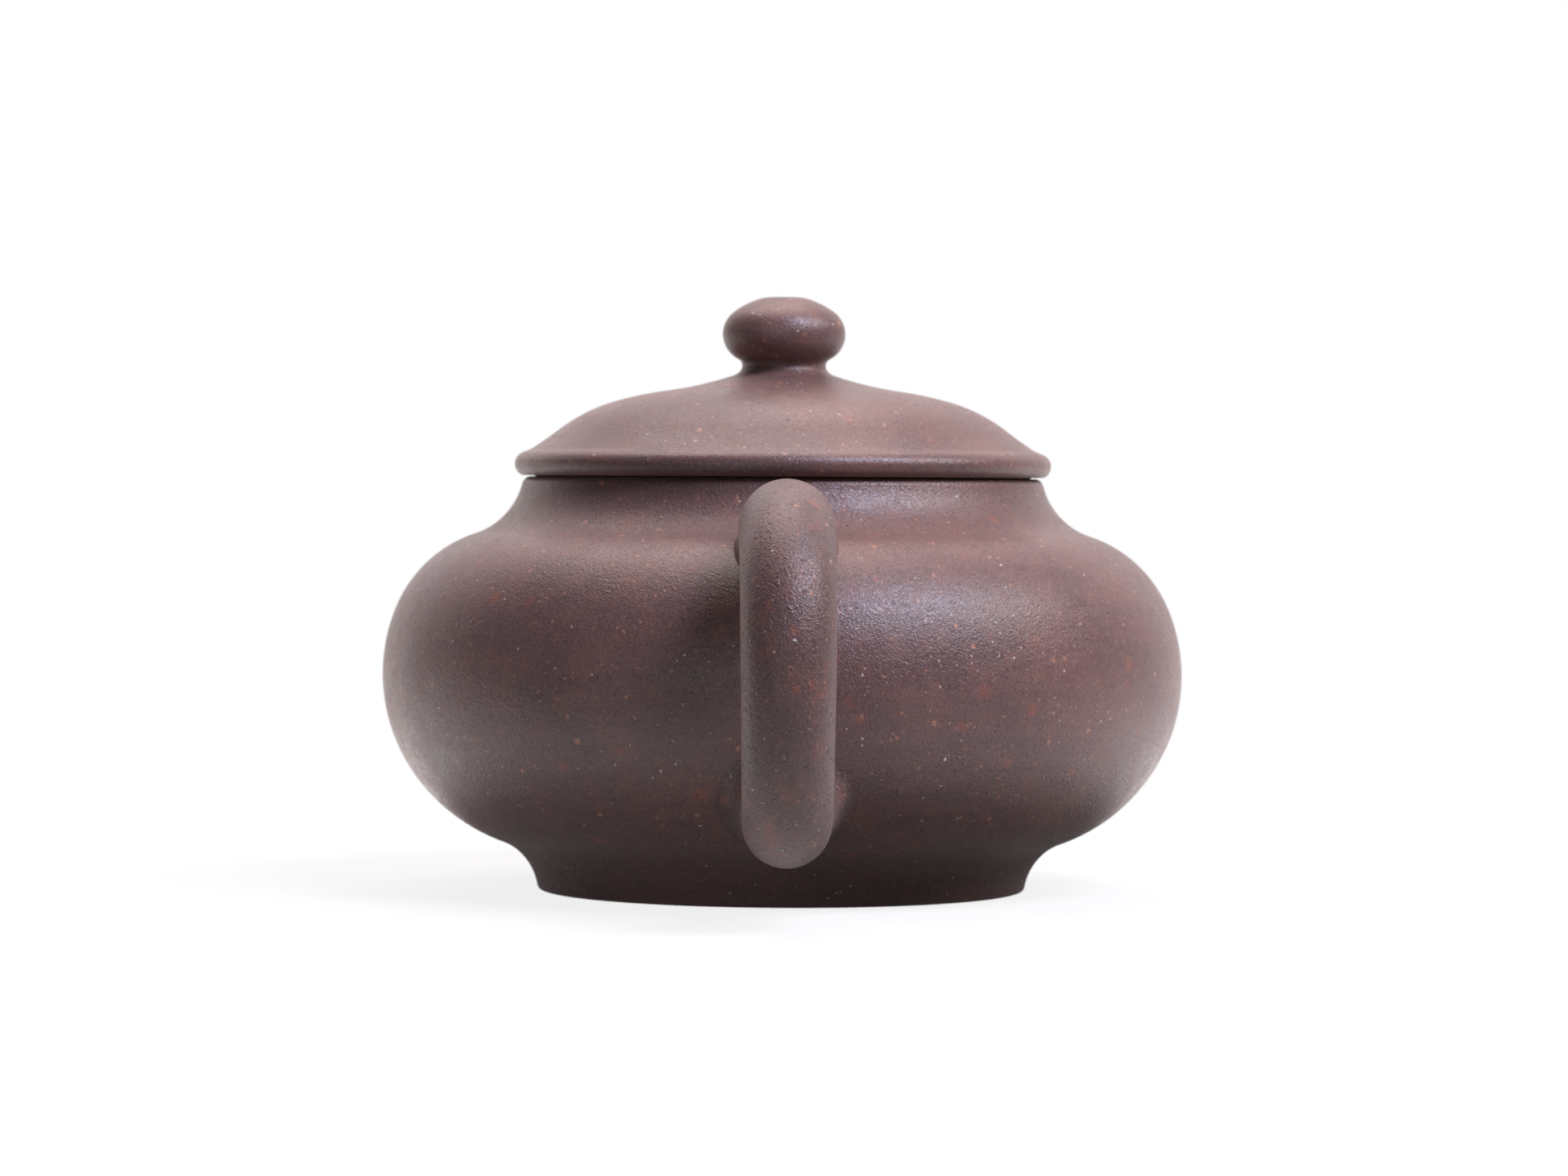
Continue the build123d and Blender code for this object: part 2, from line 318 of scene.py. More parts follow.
def strip_faces(rings, starts, ends, closed=True):
    """Points, faces and the normal at each face corner, for rings joined one to the next."""
    count, around = rings.shape[:2]
    is_point = np.ptp(rings, axis=1).max(axis=1) < 1e-9
    sizes = np.where(is_point, 1, around)
    first = np.cumsum(sizes) - sizes
    index = first[:, None] + np.where(is_point[:, None], 0, np.arange(around))
    points = np.concatenate([ring[:size] for ring, size in zip(rings, sizes)])
    faces, normals = [], []
    for i in range(count if closed else count - 1):
        j = (i + 1) % count
        if is_point[i] and is_point[j]:
            continue
        corners = [(index[i], starts[i]), (np.roll(index[i], -1), np.roll(starts[i], -1, axis=0)),
                   (np.roll(index[j], -1), np.roll(ends[i], -1, axis=0)), (index[j], ends[i])]
        if is_point[i]:
            del corners[1]
        if is_point[j]:
            del corners[3]
        faces.extend(np.stack([corner[0] for corner in corners], axis=1).tolist())
        normals.append(np.stack([corner[1] for corner in corners], axis=1).reshape(-1, 3))
    return points, faces, np.concatenate(normals)


def hand_waves():
    """Wave vectors, phases and sideways pushes of the slight unevenness of a form beaten by hand."""
    dice = np.random.default_rng(WAVE_SEED)
    lengths = WAVE_LENGTHS[:, None]
    ways = dice.normal(size=(len(lengths), 3))
    ways /= np.linalg.norm(ways, axis=1, keepdims=True)
    angles = dice.uniform(0, 2 * pi, len(lengths))
    phases = dice.uniform(0, 2 * pi, len(lengths))
    pushes = np.stack([np.cos(angles), np.sin(angles), 0 * angles], axis=-1)
    return 2 * pi / lengths * ways, phases, pushes * lengths * WAVE_STEEPNESS


WAVE_VECTORS, WAVE_PHASES, WAVE_PUSHES = hand_waves()


def hand_worked(points):
    """Points moved sideways by the unevenness of the whole pot. Heights stay, so the lid stays level."""
    return points + np.sin(points @ WAVE_VECTORS.T + WAVE_PHASES) @ WAVE_PUSHES


def hand_worked_normals(points, normals):
    """Normals of a surface after hand_worked() has moved it."""
    slope = np.cos(points @ WAVE_VECTORS.T + WAVE_PHASES) * (normals @ WAVE_PUSHES.T)
    leaned = normals - slope @ WAVE_VECTORS
    return leaned / np.linalg.norm(leaned, axis=1, keepdims=True)


def make_piece(name, points, faces, normals, material, body):
    """Object that stands for the CAD node of the same name, with exact normals at every face corner."""
    corners = np.concatenate([np.asarray(face) for face in faces])
    mesh = bpy.data.meshes.new(name + "_clay")
    mesh.from_pydata((hand_worked(points) * MM).tolist(), [], faces, shade_flat=False)
    mesh.normals_split_custom_set(hand_worked_normals(points[corners], normals).tolist())
    mesh.materials.append(material)
    piece = bpy.data.objects.new(name + "_clay", mesh)
    bpy.context.scene.collection.objects.link(piece)
    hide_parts(name)
    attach(piece, body)


# ---------------------------------------------------------------- sections of the round pieces

def foot_ring():
    top = line(FOOT_TOP, (FOOT_RECESS_R, FOOT_TOP[1]))
    recess = line((FOOT_RECESS_R, FOOT_TOP[1]), (FOOT_REST_INNER_R, 0))
    rest = line((FOOT_REST_INNER_R, 0), foot_edge)
    return with_rounds([foot_band, cove_foot, top, recess, rest], {3: EDGE_ROUND, 4: EDGE_ROUND})


def base_slab():
    floor_end = BELLY_CENTRE - (0, BELLY_RADIUS - WALL)
    floor = turned_back(arc(floor_end, 0, BELLY_RADIUS - WALL, belly[0, 2]))
    seam = line(belly[0, :2], floor[0, :2])
    middle = line(floor_end, (0, floor_end[1]))
    axis = line((0, floor_end[1]), (0, FOOT_TOP[1]))
    underside = line((0, FOOT_TOP[1]), FOOT_TOP)
    return [cove_base, seam, floor, middle, axis, underside]


def wall_section(outside):
    """Section of even wall under one curve of the outside, square to the surface at both ends."""
    inside = turned_back(inset(outside, WALL))
    return [outside, line(outside[-1, :2], inside[0, :2]), inside, line(inside[-1, :2], outside[0, :2])]


def neck_ring():
    low = inset(neck[:1], WALL)[0, :2]
    inside = turned_back(arc_to(low, neck[0, 2], (MOUTH_BORE_R, lip[0, 1])))
    return [neck, line(neck[-1, :2], inside[0, :2]), inside, line(low, neck[0, :2])]


def mouth_lip():
    seat = line(lip[-1, :2], (MOUTH_BORE_R, SEAT_Z))
    bore = line((MOUTH_BORE_R, SEAT_Z), (MOUTH_BORE_R, lip[0, 1]))
    joint = line((MOUTH_BORE_R, lip[0, 1]), lip[0, :2])
    return with_rounds([lip, seat, bore, joint], {0: 2 * EDGE_ROUND, 1: EDGE_ROUND})


def ring_section(inner_r, outer_r, low, high):
    """Rectangle walked from its low outer corner."""
    corners = [(outer_r, low), (outer_r, high), (inner_r, high), (inner_r, low)]
    return [line(corner, corners[(i + 1) % 4]) for i, corner in enumerate(corners)]


def lid_rim():
    """The half-round rim of the plate, from its underside to its top."""
    return arc((RIM_CENTRE_R, SEAT_Z), 0, RIM_RADIUS, 180, row=SMALL_ROUND_ROW)


def lid_plate():
    """Flat ring with a shallow groove between the flat that rests on the mouth and the half-round rim."""
    groove_top = (GROOVE_OUTER_R, SEAT_Z + GROOVE_DEPTH)
    rim = trim(lid_rim(), GROOVE_CUT, 0)
    top = line((RIM_CENTRE_R, PLATE_TOP_Z), (PLATE_BORE_R, PLATE_TOP_Z))
    bore = line((PLATE_BORE_R, PLATE_TOP_Z), (PLATE_BORE_R, SEAT_Z))
    underside = line((PLATE_BORE_R, SEAT_Z), (GROOVE_INNER_R, SEAT_Z))
    groove = line((GROOVE_INNER_R, SEAT_Z), groove_top)
    return [rim, top, bore, underside, groove, line(groove_top, rim[0, :2])]


def dome_outside():
    """Arcs of the dome's outside, from the plate up to the foot of the knob."""
    return walk((RIM_CENTRE_R, PLATE_TOP_Z), DOME_HEADING, DOME_STEPS)


def lid_dome():
    """Shell whose foot runs smoothly out onto the rim."""
    outside = dome_outside()
    on_rim = trim(lid_rim(), RIM_RADIUS * pi - RIM_BLEND, 0)
    outside[0] = trim(outside[0], RIM_BLEND, 0)
    foot = blend(on_rim[:1], outside[0])
    crown = outside[-1][-1, :2]
    inner_steps = [(r - np.sign(turn) * DOME_THICKNESS, turn) for r, turn in DOME_STEPS]
    inner_start = np.array([RIM_CENTRE_R, PLATE_TOP_Z]) + direction(DOME_HEADING + 90) * DOME_THICKNESS
    inside = np.concatenate([curve[:-1] for curve in walk(inner_start, DOME_HEADING, inner_steps)])
    inside = inside[inside[:, 1] > PLATE_TOP_Z]
    flat_z = inside[-1, 1]
    knob_seat = line(crown, (AIR_HOLE_R, crown[1]))
    bore = line((AIR_HOLE_R, crown[1]), (AIR_HOLE_R, flat_z))
    ceiling = line((AIR_HOLE_R, flat_z), inside[-1, :2])
    inside = turned_back(inside)
    spring = np.array([inside[-1, 0] + (inside[-1, 1] - PLATE_TOP_Z) / np.tan(radians(180 - DOME_HEADING)),
                       PLATE_TOP_Z])
    last = line(inside[-1, :2], spring)
    on_plate = line(spring, (RIM_CENTRE_R, PLATE_TOP_Z))
    curves = [foot, *outside, knob_seat, bore, ceiling, inside, last, on_plate, turned_back(on_rim)]
    ceiling_number = len(outside) + 3
    return with_rounds(curves, {ceiling_number - 1: DOME_HOLE_ROUND, ceiling_number: DOME_CEILING_ROUND})


def knob():
    """Flattened bead on a short waist, with a small flat around the air hole."""
    dome_top = dome_outside()[-1][-1]
    waist = walk(dome_top[:2], dome_top[2], KNOB_WAIST_STEPS, row=FINE_ROW)
    foot = waist[0][0, :2]
    waist_top = waist[-1][-1]
    side = arc(waist_top[:2], waist_top[2], KNOB_SIDE_RADIUS, KNOB_SIDE_TURN, row=SMALL_ROUND_ROW)
    left = 180 - side[-1, 2]
    crown_radius = side[-1, 0] / sin(radians(left))
    crown_turn = left - degrees(asin(KNOB_FLAT_R / crown_radius))
    crown = arc(side[-1, :2], side[-1, 2], crown_radius, crown_turn, row=KNOB_CROWN_ROW)
    top_z = crown[-1, 1]
    flat = line(crown[-1, :2], (AIR_HOLE_R, top_z))
    bore = line((AIR_HOLE_R, top_z), (AIR_HOLE_R, foot[1]))
    joint = line((AIR_HOLE_R, foot[1]), foot)
    curves = [*waist, side, crown, flat, bore, joint]
    crown_number = len(waist) + 1
    return with_rounds(curves, {crown_number: KNOB_FLAT_ROUND, crown_number + 1: KNOB_HOLE_ROUND})


# ---------------------------------------------------------------- tubes: the handle and the spout

class Tube:
    """Round tube along a curve in the middle plane; facing is -1 for the handle's side, 1 for the spout's."""

    def __init__(self, curve, radius_at, facing):
        self.curve = curve
        steps = np.linalg.norm(np.diff(curve[:, :2], axis=0), axis=1)
        self.along = np.concatenate([[0], np.cumsum(steps)])
        self.length = self.along[-1]
        self.radius_at = radius_at
        self.facing = facing

    def outward(self, distance, angle):
        """Directions away from the centreline, at distances along the curve and angles around it."""
        lean = np.radians(np.interp(distance, self.along, self.curve[:, 2]))
        upper = np.stack([-self.facing * np.sin(lean), np.zeros_like(lean), np.cos(lean)], axis=-1)
        across = np.array([0.0, -self.facing, 0.0])
        return upper * np.cos(angle)[..., None] + across * np.sin(angle)[..., None]

    def point(self, distance, angle, radius=None):
        """Points on the surface, or at another radius."""
        out, tall = (np.interp(distance, self.along, column) for column in self.curve.T[:2])
        centre = np.stack([self.facing * out, np.zeros_like(out), tall], axis=-1)
        reach = self.radius_at(distance) if radius is None else radius
        return centre + self.outward(distance, angle) * np.asarray(reach)[..., None]

    def crossing(self, angle, start, stop, radius_at=None):
        """Distance at which each line along the surface goes into the pot, looking from start to stop."""
        distances = np.linspace(start, stop, SEARCH_ROWS)
        grid = np.broadcast_to(distances[:, None], (SEARCH_ROWS, len(angle)))
        radius = None if radius_at is None else radius_at(grid)
        height = nearest_outside(self.point(grid, np.broadcast_to(angle, grid.shape), radius))[2]
        last = np.argmax(height < 0, axis=0)
        columns = np.arange(len(angle))
        above, below = height[last - 1, columns], height[last, columns]
        return distances[last - 1] + (distances[last] - distances[last - 1]) * above / (above - below)

    def root(self, angle, crossing, towards_end, leave, spread, rows=11):
        """Rings that leave the tube and run out on the pot's surface. towards_end is 1 at the curve's far
        end and -1 at its start."""
        start = crossing - towards_end * leave
        step = 0.05
        leaving = self.point(start + towards_end * step, angle) - self.point(start, angle)
        leaving /= np.linalg.norm(leaving, axis=-1, keepdims=True)
        meeting, normal, _ = nearest_outside(self.point(crossing, angle))
        away = along_surface(self.outward(crossing, angle), normal)
        spot, spot_normal, _ = nearest_outside(meeting + away * spread)
        arriving = along_surface(away, spot_normal)
        t = np.linspace(0, 1, rows)[:, None, None]
        begin, end = self.point(start, angle), spot - spot_normal * ROOT_EDGE_DEPTH
        return hermite(t, begin, leaving * leave * ROOT_PULL_FROM_TUBE,
                       end, arriving * spread * ROOT_PULL_ON_POT)


def along_surface(vectors, normals):
    """Vectors laid flat on a surface, at unit length."""
    laid = vectors - (vectors * normals).sum(axis=-1, keepdims=True) * normals
    return laid / np.linalg.norm(laid, axis=-1, keepdims=True)


def buried(points, depth):
    """Points moved to an even depth under the pot's surface."""
    spot, normal, _ = nearest_outside(points)
    return spot - normal * depth


def ring_normals(rings):
    """Normals of a smooth grid of rings."""
    around = np.roll(rings, -1, axis=1) - np.roll(rings, 1, axis=1)
    normals = np.cross(around, np.gradient(rings, axis=0))
    return normals / np.linalg.norm(normals, axis=-1, keepdims=True)


def flat_normals(rings):
    """One normal for each strip of faces between rings."""
    around = np.roll(rings[:-1], -1, axis=1) - rings[:-1]
    normals = np.cross(around + 1e-9, rings[1:] - rings[:-1] + 1e-9)
    return normals / (np.linalg.norm(normals, axis=-1, keepdims=True) + 1e-12)


def joined(patches):
    """Rings and strip normals of patches in a row: (rings, smooth) with smooth True for rounded patches.
    Each patch starts on the last ring of the patch before it."""
    rings, starts, ends = [patches[0][0][:1]], [], []
    for patch, smooth in patches:
        if smooth:
            normals = ring_normals(patch)
            starts.append(normals[:-1])
            ends.append(normals[1:])
        else:
            normals = flat_normals(patch)
            starts.append(normals)
            ends.append(normals)
        rings.append(patch[1:])
    return np.concatenate(rings), np.concatenate(starts), np.concatenate(ends)


def ring_angles():
    """Angles of the points around a tube."""
    return 2 * pi * np.arange(TUBE_SEGMENTS) / TUBE_SEGMENTS


def drawn_in(ring, share):
    """Ring moved a share of the way to its middle."""
    return ring * (1 - share) + ring.mean(axis=0) * share


def handle():
    """Solid ear-shaped bar with flared roots and ends buried in the wall."""
    arcs = walk(HANDLE_START, HANDLE_HEADING, HANDLE_STEPS, row=FINE_ROW)
    curve = np.concatenate([part[:-1] for part in arcs])
    length = np.linalg.norm(np.diff(curve[:, :2], axis=0), axis=1).sum()

    def radius_at(distance):
        taper = HANDLE_RADIUS_HIGH + (HANDLE_RADIUS_LOW - HANDLE_RADIUS_HIGH) * distance / length
        from_high = np.maximum(distance - HANDLE_INSIDE_HIGH, 0)
        from_low = np.maximum(length - distance - HANDLE_INSIDE_LOW, 0)
        return (taper + HANDLE_FLARE_HIGH * np.exp(-from_high / FLARE_REACH)
                + HANDLE_FLARE_LOW * np.exp(-from_low / FLARE_REACH))

    tube = Tube(curve, radius_at, facing=-1)
    angle = ring_angles()
    high = tube.crossing(angle, length / 2, 0)
    low = tube.crossing(angle, length / 2, length)
    high_rings = tube.root(angle, high, -1, HIGH_ROOT_LEAVE, HIGH_ROOT_SPREAD)
    low_rings = tube.root(angle, low, 1, LOW_ROOT_LEAVE, LOW_ROOT_SPREAD)
    start, stop = high + HIGH_ROOT_LEAVE, low - LOW_ROOT_LEAVE
    share = np.linspace(0, 1, int(length / HANDLE_ROW))[:, None]
    bar = tube.point(start + (stop - start) * share, np.broadcast_to(angle, (len(share), len(angle))))
    skin = np.concatenate([high_rings[:0:-1], bar, low_rings[1:]])

    def cap(ring):
        middle = np.broadcast_to(ring.mean(axis=0), ring.shape)
        tucked, half, point = (buried(part, HANDLE_END_DEPTH) for part in
                               (drawn_in(ring, END_INSET), drawn_in(ring, 0.5), middle))
        return np.stack([ring, tucked, half, np.broadcast_to(point[:1], ring.shape)])

    return joined([(cap(skin[0])[::-1], False), (skin, True), (cap(skin[-1]), False)])


def spout_curve():
    """Centreline: a cubic through the root, the bend and the tip, with smooth bending at the bend."""
    first = SPOUT_ROOT - direction(SPOUT_ROOT_SLOPE) * SPOUT_INSIDE_BODY
    bend, tip = np.array(SPOUT_BEND), np.array(SPOUT_TIP)
    leave, arrive = direction(SPOUT_ROOT_SLOPE), direction(SPOUT_TIP_SLOPE)
    one, two = np.linalg.norm(bend - first), np.linalg.norm(tip - bend)
    through = (3 * (two / one * (bend - first) + one / two * (tip - bend)) - two * leave - one * arrive)
    through = through / (2 * (one + two))
    t = np.linspace(0, 1, SPOUT_CURVE_ROWS)[:, None]
    lower = hermite(t, first, leave * one, bend, through * one)
    upper = hermite(t, bend, through * two, tip, arrive * two)
    points = np.concatenate([lower[:-1], upper])
    ahead = np.gradient(points, axis=0)
    return np.column_stack([points, np.degrees(np.arctan2(ahead[:, 1], ahead[:, 0]))])


def smooth_through(values, share):
    """Smooth curve through evenly spaced values, read at shares of the way along."""
    values = np.asarray(values)
    slopes = np.gradient(values)
    place = np.clip(share, 0, 1) * (len(values) - 1)
    i = np.clip(place.astype(int), 0, len(values) - 2)
    return hermite(place - i, values[i], slopes[i], values[i + 1], slopes[i + 1])


def spout_tube():
    """The spout's outside as a tube."""
    curve = spout_curve()
    length = np.linalg.norm(np.diff(curve[:, :2], axis=0), axis=1).sum()
    return Tube(curve, lambda distance: smooth_through(SPOUT_OUTER_RADII, distance / length), facing=1)


def spout_bore_at(tube):
    """Function that gives the radius of the spout's bore at distances along the tube."""
    return lambda distance: smooth_through(SPOUT_BORE_RADII, distance / tube.length)


def spout():
    """Hollow spout with a rounded lip, whose root runs out on the belly around the opening."""
    tube = spout_tube()
    bore_at = spout_bore_at(tube)
    angle = ring_angles()
    well_outside = tube.length * 0.7
    root = tube.crossing(angle, well_outside, 0)
    root_rings = tube.root(angle, root, -1, SPOUT_ROOT_LEAVE, SPOUT_ROOT_SPREAD)
    lip_half = (SPOUT_OUTER_RADII[-1] - SPOUT_BORE_RADII[-1]) / 2
    lip_start = tube.length - lip_half
    share = np.linspace(0, 1, SPOUT_ROWS)[:, None]
    grid_angle = np.broadcast_to(angle, (len(share), len(angle)))
    start = root + SPOUT_ROOT_LEAVE
    outer = tube.point(start + (lip_start - start) * share, grid_angle)
    over = np.linspace(0, pi, SPOUT_LIP_ROWS + 1)[1:, None]
    lip_grid = np.broadcast_to(angle, (len(over), len(angle)))
    lip_radius = SPOUT_BORE_RADII[-1] + lip_half * (1 + np.cos(over))
    lip_distance = np.broadcast_to(lip_start + lip_half * np.sin(over), lip_grid.shape)
    lip_rings = tube.point(lip_distance, lip_grid, np.broadcast_to(lip_radius, lip_grid.shape))
    bore_end = tube.crossing(angle, well_outside, 0, bore_at) - SPOUT_BORE_OVERLAP
    bore_distance = lip_start + (bore_end - lip_start) * share[1:]
    bore = tube.point(bore_distance, grid_angle[1:], bore_at(bore_distance))
    skin = np.concatenate([root_rings[:0:-1], outer, lip_rings, bore])
    tuck = buried(drawn_in(skin[0], END_INSET), SPOUT_END_DEPTH)
    under = np.stack([skin[-1], tuck, skin[0]])
    rings, starts, ends = joined([(skin, True), (under, False)])
    return rings[:-1], starts, ends


def plain_mesh(name, rings, closed=True):
    """Throwaway mesh for cutting, in millimetres."""
    points, faces, _ = strip_faces(rings, rings, rings, closed)
    mesh = bpy.data.meshes.new(name)
    mesh.from_pydata(points.tolist(), [], faces)
    return mesh


def spout_drill():
    """Rings of a closed rod with the shape of the spout's bore, from inside the pot to outside its wall."""
    tube = spout_tube()
    distance = np.linspace(0, SPOUT_INSIDE_BODY + 3 * WALL, DRILL_ROWS)[:, None] + np.zeros(TUBE_SEGMENTS)
    angle = np.broadcast_to(ring_angles(), distance.shape)
    rod = tube.point(distance, angle, spout_bore_at(tube)(distance))
    ends = [np.broadcast_to(ring.mean(axis=0), ring.shape)[None] for ring in (rod[0], rod[-1])]
    return np.concatenate([ends[0], rod, ends[1]])


def drilled_wall():
    """Mesh of the belly's wall with the round spout opening cut out."""
    whole = bpy.data.objects.new("wall", plain_mesh("wall", revolved(wall_section(belly))[0]))
    cutter = bpy.data.objects.new("drill", plain_mesh("drill", spout_drill(), closed=False))
    for item in (whole, cutter):
        bpy.context.scene.collection.objects.link(item)
    cut = whole.modifiers.new("cut", "BOOLEAN")
    cut.operation = "DIFFERENCE"
    cut.solver = "EXACT"
    cut.object = cutter
    mesh = bpy.data.meshes.new_from_object(whole.evaluated_get(bpy.context.evaluated_depsgraph_get()))
    for item in (whole, cutter):
        bpy.data.objects.remove(item)
    return mesh


def body_wall():
    """The belly's wall with the spout opening: points, faces and corner normals."""
    mesh = drilled_wall()
    points = np.empty(len(mesh.vertices) * 3)
    mesh.vertices.foreach_get("co", points)
    points = points.reshape(-1, 3)
    faces = [list(polygon.vertices) for polygon in mesh.polygons]
    radius = np.hypot(points[:, 0], points[:, 1])
    from_centre = np.stack([radius, points[:, 2]], axis=-1) - BELLY_CENTRE
    reach = np.linalg.norm(from_centre, axis=1)
    flat = from_centre / reach[:, None]
    swept = np.column_stack([points[:, :2] / radius[:, None] * flat[:, :1], flat[:, 1]])
    on_outside = abs(reach - BELLY_RADIUS) < ON_SURFACE
    on_inside = abs(reach - (BELLY_RADIUS - WALL)) < ON_SURFACE
    normals = []
    for polygon, face in zip(mesh.polygons, faces):
        if on_outside[face].all():
            normals.append(swept[face])
        elif on_inside[face].all():
            normals.append(-swept[face])
        else:
            normals.append(np.tile(np.array(polygon.normal), (len(face), 1)))
    return points, faces, np.concatenate(normals)


# ---------------------------------------------------------------- the clay

DARK_CLAY = (0.130, 0.071, 0.065)
WARM_CLAY = (0.168, 0.087, 0.075)
RED_CLAY = (0.240, 0.092, 0.064)
BURNT_CLAY = (0.080, 0.054, 0.053)
RED_GRAIN = (0.30, 0.085, 0.055)
ORANGE_GRAIN = (0.46, 0.20, 0.12)
PALE_GRAIN = (0.72, 0.64, 0.58)
PIT = (0.03, 0.022, 0.022)
SHEEN = (1.0, 0.82, 0.80, 1.0)

# Patterns, with their scale in features per millimetre.
CLOUDS = dict(scale=0.055, detail=3.0, roughness=0.55)
PATCHES = dict(scale=0.36, detail=4.0, roughness=0.62)
SWELL = dict(scale=0.8, detail=1.0, roughness=0.5)
SAND = dict(scale=3.8, detail=1.0, roughness=0.4)
STREAKS = dict(scale=1.0, detail=3.0, roughness=0.55)
GRAIN_CELLS = 4.4
CRUMBLE = 2.2  # scale of the raggedness of the grains' outlines
CRUMBLE_REACH = 0.6

# Which part of a pattern's values takes on each colour, and the part where nearly all values lie.
WARM_CLOUDS = (0.35, 0.68)
RED_PATCHES = (0.5, 0.72)
BURNT_PATCHES = (0.26, 0.45)
BURNT_STRENGTH = 0.22
SPREAD = (0.3, 0.7)

# How much each pattern changes the clay's brightness, as shares, and its roughness.
SAND_TONE = 0.16
STREAK_TONE = 0.06
CELL_TONE = 0.12
ROUGHNESS = (0.31, 0.39)
CELL_ROUGHNESS = 0.08
PIT_ROUGHNESS = 0.2

# Heights in millimetres.
SAND_HEIGHT = 0.085
CELL_HEIGHT = 0.025
SWELL_HEIGHT = 0.02
STREAK_HEIGHT = 0.015
PALE_HEIGHT = 0.03
PIT_DEPTH = 0.07

# Scattered grains in millimetres, each kind with its colour and how strongly it covers the clay.
GRIT = dict(spacing=0.75, radius=0.20, share=0.55, shift=61.3, soft=0.5)
GRAINS = {
    "red": (dict(spacing=4.2, radius=0.75, share=0.25, shift=3.1, soft=0.6), RED_GRAIN, 0.5),
    "orange": (dict(spacing=2.3, radius=0.28, share=0.52, shift=17.3), ORANGE_GRAIN, 0.68),
    "rusty": (dict(spacing=1.1, radius=0.17, share=0.42, shift=71.9), ORANGE_GRAIN, 0.52),
    "pale": (dict(spacing=2.9, radius=0.18, share=0.22, shift=29.9), PALE_GRAIN, 0.75),
    "dust": (dict(spacing=0.9, radius=0.12, share=0.16, shift=41.7), PALE_GRAIN, 0.6),
    "pit": (dict(spacing=1.1, radius=0.13, share=0.08, shift=53.5), PIT, 0.7),
}
SMALLEST, LARGEST = 0.45, 1.25  # sizes of grains of one kind, as shares of their radius


def node(tree, kind, inputs=None, **settings):
    """Shader node with its settings and its inputs, each a value or another node's output."""
    made = tree.nodes.new("ShaderNode" + kind)
    for name, value in settings.items():
        setattr(made, name, value)
    for name, value in (inputs or {}).items():
        if isinstance(value, bpy.types.NodeSocket):
            tree.links.new(value, made.inputs[name])
        else:
            made.inputs[name].default_value = value
    return made


def maths(tree, operation, first, second=0.0):
    """Sum, product or another operation on two values."""
    return node(tree, "Math", {0: first, 1: second}, operation=operation).outputs[0]


def noise(tree, place, scale, detail, roughness):
    """Soft random values around 0.5."""
    made = node(tree, "TexNoise", {"Vector": place, "Scale": scale, "Detail": detail, "Roughness": roughness})
    return made.outputs["Fac"]


def ramp(tree, value, low, high, to_low=0.0, to_high=1.0, smooth=True):
    """Values from low to high spread from to_low to to_high."""
    made = node(tree, "MapRange", {"Value": value, "From Min": low, "From Max": high, "To Min": to_low,
                                   "To Max": to_high})
    made.interpolation_type = "SMOOTHSTEP" if smooth else "LINEAR"
    return made.outputs["Result"]


def either_side(tree, value, reach):
    """Values from 0 to 1 spread evenly from -reach to reach."""
    return ramp(tree, value, 0, 1, -reach, reach, smooth=False)


def total(tree, *values):
    """Sum of several values."""
    result = values[0]
    for value in values[1:]:
        result = maths(tree, "ADD", result, value)
    return result


def mixed(tree, share, first, second):
    """Mix of two colours, with a share of the second."""
    made = node(tree, "Mix", data_type="RGBA")
    for socket, value in zip((made.inputs[0], made.inputs[6], made.inputs[7]), (share, first, second)):
        if isinstance(value, bpy.types.NodeSocket):
            tree.links.new(value, socket)
        elif isinstance(value, tuple):
            socket.default_value = (*value, 1.0)
        else:
            socket.default_value = value
    return made.outputs[2]


def moved(tree, place, step):
    """Places moved by a step, or by an output of vectors."""
    return node(tree, "VectorMath", {0: place, 1: step}, operation="ADD").outputs[0]


def stretched(tree, place, factors):
    """Places or vectors multiplied in x, y and z."""
    return node(tree, "VectorMath", {0: place, 1: factors}, operation="MULTIPLY").outputs[0]


def specks(tree, place, spacing, radius, share, shift, soft=0.3):
    """Mask of scattered grains: one site in each cell of a spacing, and a share of the sites is a grain."""
    cells = node(tree, "TexVoronoi", {"Vector": moved(tree, place, (shift, shift * 0.7, shift * 1.3)),
                                      "Scale": 1 / spacing})
    lot = node(tree, "SeparateColor", {0: cells.outputs["Color"]})
    size = ramp(tree, lot.outputs[1], 0, 1, SMALLEST * radius / spacing, LARGEST * radius / spacing,
                smooth=False)
    edge = maths(tree, "DIVIDE", cells.outputs["Distance"], size)
    inside = ramp(tree, edge, 1 - soft, 1 + soft, 1.0, 0.0)
    chosen = maths(tree, "LESS_THAN", lot.outputs[0], share)
    return maths(tree, "MULTIPLY", inside, chosen)


